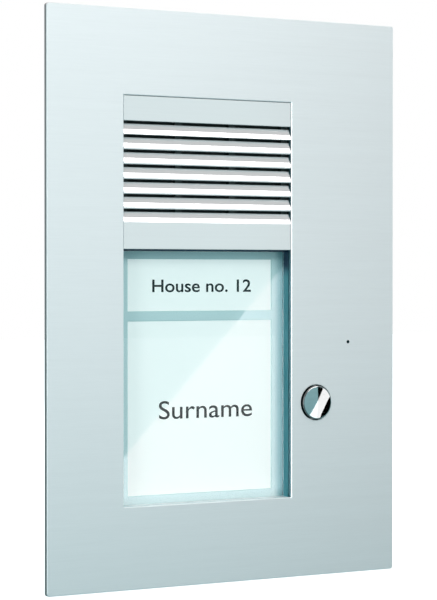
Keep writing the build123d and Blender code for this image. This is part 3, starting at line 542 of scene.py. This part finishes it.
def moulding(name, colour, rough, grain, depth):
    """Moulded plastic or rubber with spark-eroded grain, and its colour with faint flow clouding."""
    f = Finish(name, colour, rough)
    texture = f.noise((grain, grain, grain), 2.0, 0.55)
    cloud = f.noise((35.0, 35.0, 35.0), 3.0, 0.5)
    clouded = f.blend(f.between(cloud, 0.3, 0.7, 0.0, 1.0), tinted(colour, 0.93), tinted(colour, 1.06))
    f.set("Roughness", f.maths("ADD", f.between(texture, 0.3, 0.7, rough - 0.05, rough + 0.05),
                               f.between(cloud, 0.3, 0.7, -0.03, 0.03)))
    f.bump(texture, depth, 0.6)
    return f, clouded


def moulded(name, colour, rough, grain=2600.0, depth=0.02 * MM):
    f, clouded = moulding(name, colour, rough, grain, depth)
    f.set("Base Color", clouded)
    return f.material


def tray_plastic():
    """Satin moulding. Faces that look up carry painted light from the window's glow, and its sides carry
    painted shade under the louvre.
    """
    f, clouded = moulding("tray_plastic", (0.06, 0.29, 0.34), 0.4, grain=2600.0, depth=0.02 * MM)
    # painted shade: the tray is made dark towards the louvre above it
    painted_shade_under_louvre = f.between(f.place_part("Z"), *UNDER_LOUVRE, 0.0, 1.0, soft=True)
    shaded = f.blend(painted_shade_under_louvre, clouded, (0.01, 0.045, 0.09))
    # painted light: faces that look up are made near white, as if lit by the window's glow
    painted_ledge_light = f.between(f.normal("Z"), 0.5, 0.8, 0.0, 1.0)
    f.set("Base Color", f.blend(painted_ledge_light, shaded, (0.88, 0.93, 0.94)))
    return f.material


def black_cloth():
    """Acoustic cloth: a plain weave of round threads."""
    f = Finish("black_cloth", (0.02, 0.03, 0.03), 0.85)
    warp = f.wave((900.0, 900.0, 900.0), "X")
    weft = f.wave((900.0, 900.0, 900.0), "Z")
    weave = f.maths("MAXIMUM", warp, weft)
    fluff = f.noise((1500.0, 1500.0, 1500.0), 2.0, 0.6)
    f.set("Base Color", f.blend(weave, (0.006, 0.009, 0.009), (0.035, 0.05, 0.05)))
    f.set("Roughness", f.between(fluff, 0.3, 0.7, 0.75, 0.95))
    f.bump(weave, 0.00012, 0.8)
    return f.material


def cone_paper():
    """Pressed black pulp."""
    f = Finish("cone_paper", (0.03, 0.03, 0.032), 0.8)
    fibre = f.noise((700.0, 700.0, 700.0), 4.0, 0.7)
    f.set("Base Color", f.blend(f.between(fibre, 0.35, 0.65, 0.0, 1.0), (0.02, 0.02, 0.021),
                                (0.045, 0.045, 0.047)))
    f.set("Roughness", f.between(fibre, 0.3, 0.7, 0.7, 0.9))
    f.bump(fibre, 0.00006, 0.6)
    return f.material


def card_paper():
    """Smooth printed card with a trace of fibre, given a faint warm painted glow."""
    f = Finish("card", (0.93, 0.95, 0.925), 0.55, Emission_Color=(1.0, 0.88, 0.88, 1.0),
               Emission_Strength=0.2)
    fibre = f.noise((900.0, 900.0, 900.0), 4.0, 0.65)
    cloud = f.noise((25.0, 25.0, 25.0), 2.0, 0.5)
    tone = f.maths("ADD", f.maths("MULTIPLY", fibre, 0.6), f.maths("MULTIPLY", cloud, 0.4))
    f.set("Base Color", f.blend(f.between(tone, 0.3, 0.7, 0.0, 1.0), tinted(f.colour, 0.985),
                                tinted(f.colour, 1.01)))
    f.set("Roughness", f.between(fibre, 0.3, 0.7, 0.5, 0.62))
    f.bump(fibre, 0.000008, 0.3)
    return f.material


def frosted_acrylic():
    """The light guide, with a sandblasted face. It shows as the border round the cards. It has a faint
    painted glow, taken away above them and turned a little negative below them as painted shade, and its
    colour is painted darker towards the tray's right wall as painted shade."""
    f = Finish("frosted_acrylic", (0.53, 0.68, 0.69), 0.45, Emission_Color=(0.75, 0.96, 1.0, 1.0))
    # painted glow: 0.06 over most of the border, none above the cards and a little negative below them, both
    # painted shade
    below = f.between(f.place_part("Z"), *BELOW_CARDS, -0.06, 0.06)
    above = f.between(f.place_part("Z"), *ABOVE_CARDS, 0.0, -0.06)
    f.set("Emission Strength", f.maths("ADD", below, above))
    frost = f.noise((1800.0, 1800.0, 1800.0), 3.0, 0.6)
    cloud = f.noise((30.0, 30.0, 30.0), 2.0, 0.5)
    clouded = f.blend(f.between(cloud, 0.3, 0.7, 0.0, 1.0), tinted(f.colour, 0.975), tinted(f.colour, 1.02))
    # painted shade: the colour darkens towards the tray's right wall
    painted_shade_beside_wall = f.between(f.place_part("X"), *BESIDE_WALL, 0.0, 1.0)
    f.set("Base Color", f.blend(painted_shade_beside_wall, clouded, (0.16, 0.44, 0.49)))
    f.set("Roughness", f.between(frost, 0.3, 0.7, 0.38, 0.52))
    f.bump(frost, 0.00001, 0.4)
    return f.material


def clear_acrylic():
    """Clear polished pane. Lamps shine straight through it to what it covers."""
    f = Finish("clear_acrylic", (0.975, 0.995, 0.995), 0.0, IOR=1.49, Transmission_Weight=1.0)
    haze = f.noise((160.0, 160.0, 160.0), 3.0, 0.6)
    f.set("Roughness", f.between(haze, 0.4, 0.8, 0.0, 0.02))
    out = f.nt.nodes["Material Output"]
    clear = add(f.nt, "BsdfTransparent", Color=(0.95, 0.985, 0.985, 1.0))
    path = add(f.nt, "LightPath")
    through = f.maths("MAXIMUM", path.outputs["Is Shadow Ray"], path.outputs["Is Diffuse Ray"])
    mix = add(f.nt, "MixShader")
    f.nt.links.new(through, mix.inputs["Fac"])
    f.nt.links.new(f.shader.outputs[0], mix.inputs[1])
    f.nt.links.new(clear.outputs[0], mix.inputs[2])
    f.nt.links.new(mix.outputs[0], out.inputs["Surface"])
    return f.material


def circuit_board():
    """Green solder mask over copper tracks, with a woven glass hint."""
    f = Finish("circuit_board", (0.015, 0.10, 0.045), 0.35)
    cells = f.cells((210.0, 210.0, 210.0))
    track = f.between(cells, 0.18, 0.22, 1.0, 0.0)
    glass = f.wave((500.0, 500.0, 500.0), "DIAGONAL", 1.0)
    mask = f.blend(glass, tinted(f.colour, 0.9), tinted(f.colour, 1.1))
    f.set("Base Color", f.blend(track, mask, (0.03, 0.17, 0.075)))
    f.set("Roughness", f.between(glass, 0.0, 1.0, 0.3, 0.4))
    f.bump(track, 0.00003, 0.5)
    return f.material


def ink():
    """Printed lettering: matt black ink with slightly uneven cover."""
    f = Finish("ink", (0.004, 0.0045, 0.005), 0.8, Specular_IOR_Level=0.0)
    cover = f.noise((2500.0, 2500.0, 2500.0), 2.0, 0.5)
    f.set("Base Color", f.blend(f.between(cover, 0.3, 0.7, 0.0, 1.0), (0.003, 0.0035, 0.004),
                                (0.006, 0.0065, 0.007)))
    f.set("Roughness", f.between(cover, 0.3, 0.7, 0.7, 0.9))
    return f.material


FINISHES = {
    "plate_aluminium": plate_aluminium,
    "louvre_aluminium": louvre_aluminium,
    "polished_steel": polished_steel,
    "zinc_steel": lambda: plated("zinc_steel", (0.62, 0.64, 0.66), 0.32),
    "magnet_steel": lambda: plated("magnet_steel", (0.45, 0.46, 0.47), 0.4),
    "brass": lambda: plated("brass", (0.72, 0.54, 0.25), 0.28),
    "capsule_metal": lambda: plated("capsule_metal", (0.66, 0.67, 0.68), 0.3),
    "tinned_wire": lambda: plated("tinned_wire", (0.68, 0.69, 0.7), 0.25),
    "black_plastic": lambda: moulded("black_plastic", (0.02, 0.032, 0.032), 0.5),
    "tray_plastic": tray_plastic,
    "housing_plastic": lambda: moulded("housing_plastic", (0.055, 0.06, 0.065), 0.55, 1500.0, 0.05 * MM),
    "rubber": lambda: moulded("rubber", (0.018, 0.018, 0.019), 0.75, 1800.0, 0.03 * MM),
    "black_cloth": black_cloth,
    "cone_paper": cone_paper,
    "clear_acrylic": clear_acrylic,
    "frosted_acrylic": frosted_acrylic,
    "card": card_paper,
    "circuit_board": circuit_board,
    "led_white": lambda: moulded("led_white", (0.85, 0.84, 0.75), 0.3),
    "chip_black": lambda: moulded("chip_black", (0.02, 0.02, 0.022), 0.6),
    "terminal_green": lambda: moulded("terminal_green", (0.03, 0.28, 0.11), 0.45),
    "trimmer_blue": lambda: moulded("trimmer_blue", (0.02, 0.11, 0.42), 0.4),
    "rotor_white": lambda: moulded("rotor_white", (0.8, 0.8, 0.78), 0.45),
    "lead_insulation": lambda: moulded("lead_insulation", (0.5, 0.03, 0.03), 0.5),
}

made = {}
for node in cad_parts.values():
    for part_slot in node.material_slots:
        wanted = part_slot.material.name.split(".")[0]
        if wanted not in made:
            made[wanted] = FINISHES[wanted]()
        part_slot.material = made[wanted]


# ---------------------------------------------------------------- the bell push's spring

SPRING_WIRE_R = 0.3 * MM
SPRING_TURNS = 2.5
SPRING_STEPS = 90           # rings of wire along the coil
SPRING_SIDES = 10


def bell_spring():
    """The coil spring again as one mesh, because it shortens when the bell push is pressed."""
    low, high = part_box("bell_spring")
    centre_x, centre_z = (low.x + high.x) / 2, (low.z + high.z) / 2
    coil_r = (high.x - low.x) / 2 - SPRING_WIRE_R
    rise = (high.y - low.y) - 2 * SPRING_WIRE_R
    points = []
    for step in range(SPRING_STEPS + 1):
        along = step / SPRING_STEPS
        turn = 2 * math.pi * SPRING_TURNS * along
        outward = Vector((math.cos(turn), 0.0, math.sin(turn)))
        centre = Vector((centre_x, low.y + SPRING_WIRE_R + rise * along, centre_z)) + outward * coil_r
        for side in range(SPRING_SIDES):
            a = 2 * math.pi * side / SPRING_SIDES
            points.append(centre + (outward * math.cos(a) + Vector((0.0, math.sin(a), 0.0))) * SPRING_WIRE_R)
    faces = []
    for step in range(SPRING_STEPS):
        for side in range(SPRING_SIDES):
            here, following = step * SPRING_SIDES, (side + 1) % SPRING_SIDES
            faces.append((here + side, here + following, here + SPRING_SIDES + following,
                          here + SPRING_SIDES + side))
    faces.append(tuple(reversed(range(SPRING_SIDES))))
    faces.append(tuple(range(SPRING_STEPS * SPRING_SIDES, (SPRING_STEPS + 1) * SPRING_SIDES)))
    mesh = bpy.data.meshes.new("pressed_spring")
    mesh.from_pydata(points, [], faces)
    for face in mesh.polygons:
        face.use_smooth = len(face.vertices) == 4
    mesh.materials.append(made["zinc_steel"])
    piece = bpy.data.objects.new("pressed_spring", mesh)
    scene.collection.objects.link(piece)
    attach(piece, "panel")
    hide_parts("bell_spring")
    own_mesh(piece)


bell_spring()


# ---------------------------------------------------------------- lettering on the two cards

INK = ink()
CARD_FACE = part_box("name_card")[0].y
FONT_SIZE = 10 * MM
CAP_SHARE = 0.73            # height of a capital in the built-in font, as a share of its size
INK_HALF_THICK = 0.01 * MM
INK_LIFT = 0.02 * MM        # from the card's face to the middle of the ink


def lettering(name, words, left, baseline, cap_height, width, weight):
    """Plain generic words printed on a card. weight is how far each stroke is widened, before scaling."""
    data = bpy.data.curves.new(name, "FONT")
    data.body = words
    data.size = FONT_SIZE
    data.extrude = INK_HALF_THICK
    data.offset = weight
    data.align_x = "LEFT"
    data.materials.append(INK)
    text = bpy.data.objects.new(name, data)
    scene.collection.objects.link(text)
    bpy.context.view_layer.update()
    low_x = min(corner[0] for corner in text.bound_box)
    high_x = max(corner[0] for corner in text.bound_box)
    text.scale = (width / (high_x - low_x), cap_height / (FONT_SIZE * CAP_SHARE), 1.0)
    text.rotation_euler = (math.pi / 2, 0.0, 0.0)
    text.location = (left - low_x * text.scale[0], CARD_FACE - INK_LIFT, baseline)
    bpy.context.view_layer.update()
    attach(text, "panel")


lettering("address_text", "House no. 12", left=-30.5 * MM, baseline=2.8 * MM, cap_height=5.1 * MM,
          width=45.5 * MM, weight=0.13 * MM)
lettering("name_text", "Surname", left=-27.5 * MM, baseline=-47.3 * MM, cap_height=7.5 * MM,
          width=43 * MM, weight=0.03 * MM)
